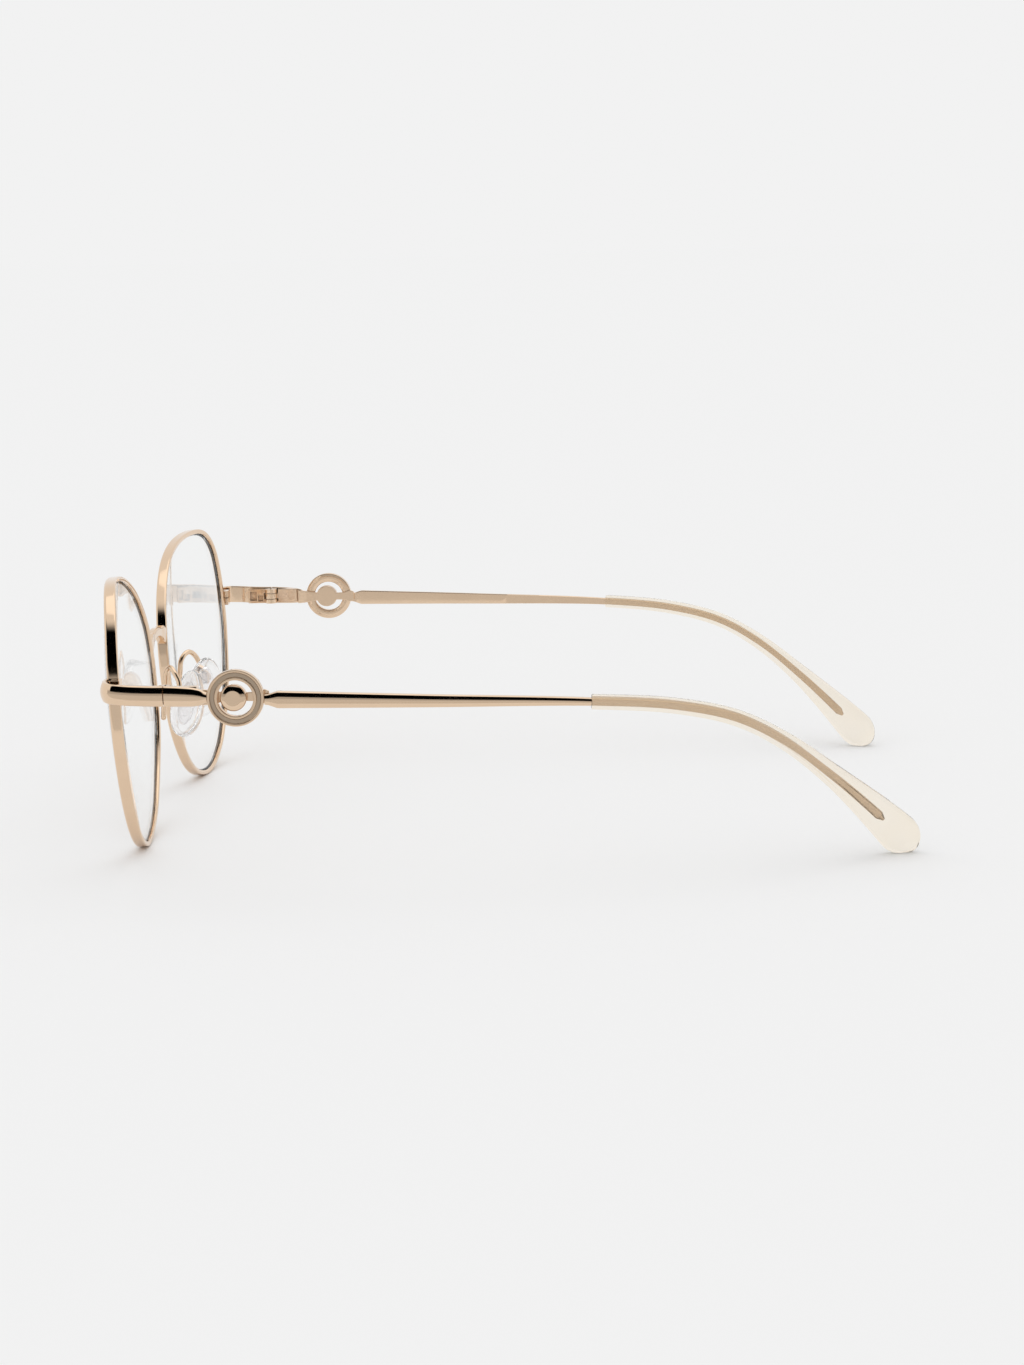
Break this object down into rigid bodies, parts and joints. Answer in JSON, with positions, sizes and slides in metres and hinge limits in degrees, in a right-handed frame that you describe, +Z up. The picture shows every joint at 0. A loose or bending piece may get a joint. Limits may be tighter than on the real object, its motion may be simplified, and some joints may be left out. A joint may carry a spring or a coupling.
{
  "type": "eyeglasses",
  "caption": "Full-rim metal eyeglasses, open on a table, with a ring ornament on each temple, clear tips behind the ears and clear nose pads on wire arms.",
  "frame": {"origin": "the middle of the box that the open glasses stand in, on the table", "axes": "+X towards the wearer's left, +Y back from the lenses to the ear tips, +Z up"},
  "size_m": [0.135, 0.1458, 0.0501],
  "materials": {
    "rose_gold": "polished rose-gold plating",
    "screw_steel": "turned steel",
    "inlay": "satin taupe band",
    "lens": "clear polished demo lens",
    "acetate": "translucent champagne",
    "silicone": "clear soft silicone",
    "insert": "clear hard insert"
  },
  "bodies": {
    "front": {"bridge": "rose_gold", "rim_left": "rose_gold", "rim_right": "rose_gold", "lens_left": "lens", "lens_right": "lens", "end_piece_left": "rose_gold", "end_piece_right": "rose_gold", "rim_lock_upper_left": "rose_gold", "rim_lock_upper_right": "rose_gold", "rim_lock_lower_left": "rose_gold", "rim_lock_lower_right": "rose_gold", "rim_lock_screw_left": "screw_steel", "rim_lock_screw_right": "screw_steel", "hinge_front_leaf_left": "rose_gold", "hinge_front_leaf_right": "rose_gold", "hinge_screw_left": "screw_steel", "hinge_screw_right": "screw_steel", "pad_arm_left": "rose_gold", "pad_arm_right": "rose_gold", "pad_box_left": "rose_gold", "pad_box_right": "rose_gold", "pad_screw_left": "screw_steel", "pad_screw_right": "screw_steel"},
    "temple_left": {"hinge_temple_leaf_left": "rose_gold", "temple_plate_left": "rose_gold", "ornament_ring_left": "rose_gold", "ring_inlay_left": "inlay", "ornament_crossbar_left": "rose_gold", "ornament_button_left": "rose_gold", "temple_rod_left": "rose_gold", "temple_tip_left": "acetate"},
    "temple_right": {"hinge_temple_leaf_right": "rose_gold", "temple_plate_right": "rose_gold", "ornament_ring_right": "rose_gold", "ring_inlay_right": "inlay", "ornament_crossbar_right": "rose_gold", "ornament_button_right": "rose_gold", "temple_rod_right": "rose_gold", "temple_tip_right": "acetate"},
    "pad_left": {"pad_insert_left": "insert", "nose_pad_left": "silicone"},
    "pad_right": {"pad_insert_right": "insert", "nose_pad_right": "silicone"}
  },
  "joints": [
    {"name": "temple_left_fold", "type": "hinge", "parent": "front", "child": "temple_left", "pos_m": [0.06455, -0.05681, 0.03295], "axis": [0, 0, 1], "range_deg": [0, 86]},
    {"name": "temple_right_fold", "type": "hinge", "parent": "front", "child": "temple_right", "pos_m": [-0.06455, -0.05681, 0.03295], "axis": [0, 0, -1], "range_deg": [0, 83]},
    {"name": "pad_left_rock", "type": "hinge", "parent": "front", "child": "pad_left", "pos_m": [0.01062, -0.06341, 0.02406], "axis": [-0.4695, -0.8829, 0], "range_deg": [-12, 12]},
    {"name": "pad_right_rock", "type": "hinge", "parent": "front", "child": "pad_right", "pos_m": [-0.01062, -0.06341, 0.02406], "axis": [0.4695, -0.8829, 0], "range_deg": [-12, 12]}
  ]
}
